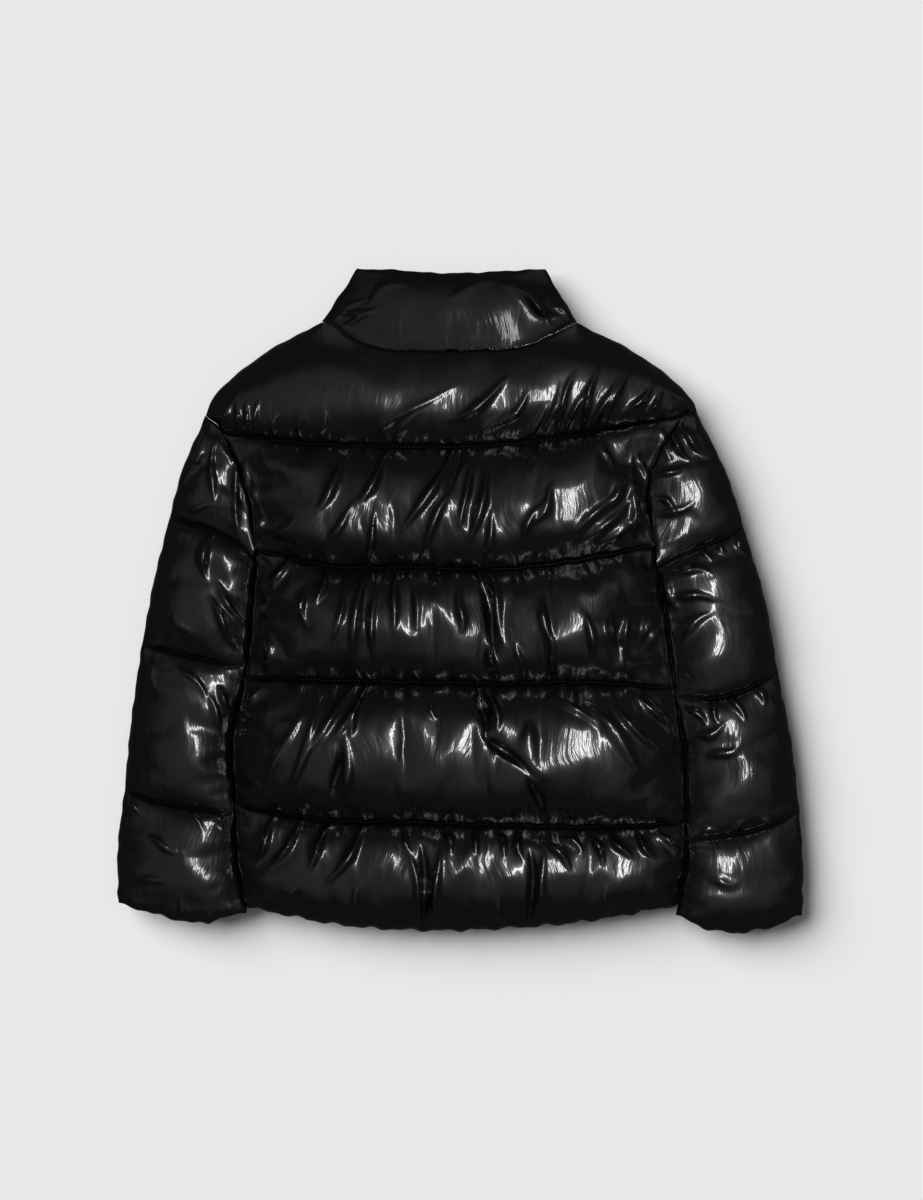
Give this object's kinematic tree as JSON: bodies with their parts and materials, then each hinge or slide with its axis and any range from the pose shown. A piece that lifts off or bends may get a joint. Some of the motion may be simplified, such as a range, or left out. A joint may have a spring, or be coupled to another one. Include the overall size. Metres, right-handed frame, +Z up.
{
  "type": "quilted puffer jacket, laid flat",
  "caption": "Short, glossy black quilted puffer jacket with a funnel collar, zipped up and laid flat on its front, so that its padded back is uppermost.",
  "frame": {"origin": "centre of the garment's outline on the surface it lies on", "axes": "+Z up, away from the surface and out of the jacket's back; +Y from the hem to the collar; +X across, from the wearer's left sleeve to the right one"},
  "size_m": [0.7248, 0.7022, 0.0684],
  "materials": {
    "glossy_nylon": "glossy coated nylon over padding",
    "zip_tape": "matt woven tape with a moulded chain",
    "black_zip_metal": "black lacquer"
  },
  "bodies": {
    "jacket": {"yoke_back": "glossy_nylon", "chest_back": "glossy_nylon", "middle_back": "glossy_nylon", "waist_back": "glossy_nylon", "hem_back": "glossy_nylon", "yoke_front_left": "glossy_nylon", "chest_front_left": "glossy_nylon", "middle_front_left": "glossy_nylon", "waist_front_left": "glossy_nylon", "hem_front_left": "glossy_nylon", "yoke_front_right": "glossy_nylon", "chest_front_right": "glossy_nylon", "middle_front_right": "glossy_nylon", "waist_front_right": "glossy_nylon", "hem_front_right": "glossy_nylon", "sleeve_left_cap_back": "glossy_nylon", "sleeve_left_cap_front": "glossy_nylon", "sleeve_left_upper_back": "glossy_nylon", "sleeve_left_upper_front": "glossy_nylon", "sleeve_left_lower_back": "glossy_nylon", "sleeve_left_lower_front": "glossy_nylon", "sleeve_left_cuff_back": "glossy_nylon", "sleeve_left_cuff_front": "glossy_nylon", "sleeve_right_cap_back": "glossy_nylon", "sleeve_right_cap_front": "glossy_nylon", "sleeve_right_upper_back": "glossy_nylon", "sleeve_right_upper_front": "glossy_nylon", "sleeve_right_lower_back": "glossy_nylon", "sleeve_right_lower_front": "glossy_nylon", "sleeve_right_cuff_back": "glossy_nylon", "sleeve_right_cuff_front": "glossy_nylon", "collar_back": "glossy_nylon", "collar_front_left": "glossy_nylon", "collar_front_right": "glossy_nylon", "zip_chain": "zip_tape", "zip_slider": "black_zip_metal"},
    "pull_tab": {"zip_pull": "black_zip_metal"}
  },
  "joints": [
    {"name": "pull_swing", "type": "hinge", "parent": "jacket", "child": "pull_tab", "pos_m": [-0.00995, 0.3329, 0.0157], "axis": [0.9999, 0.0148, 0], "range_deg": [-26, 150]}
  ]
}
